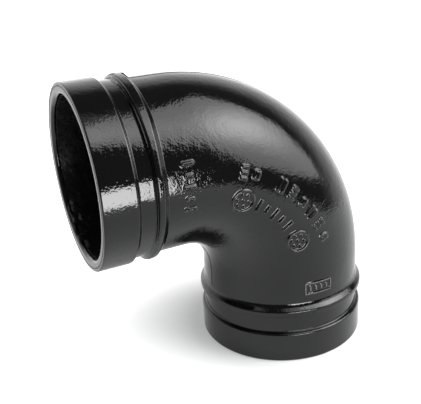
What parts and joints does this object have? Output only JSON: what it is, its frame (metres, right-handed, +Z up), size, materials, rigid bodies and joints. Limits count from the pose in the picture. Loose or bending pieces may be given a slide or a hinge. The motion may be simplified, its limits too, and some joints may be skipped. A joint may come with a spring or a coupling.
{
  "type": "grooved pipe elbow",
  "caption": "One-piece cast 90 degree pipe elbow with a plain land, a groove and a raised bead at each end, coated in glossy black enamel.",
  "frame": {"origin": "centre of the lower end face, on the axis of the lower leg", "axes": "+Z up along the lower leg, -X out along the side leg, the bend lies in the plane y = 0 and the raised marks face -Y"},
  "size_m": [0.1528, 0.0894, 0.1527],
  "materials": {
    "cast_iron": "as cast",
    "outer_enamel": "gloss enamel",
    "bore_enamel": "gloss enamel, rough cast beneath"
  },
  "bodies": {
    "root": {"elbow_casting": "cast_iron", "outer_coating": "outer_enamel", "bore_lining": "bore_enamel"}
  },
  "joints": []
}
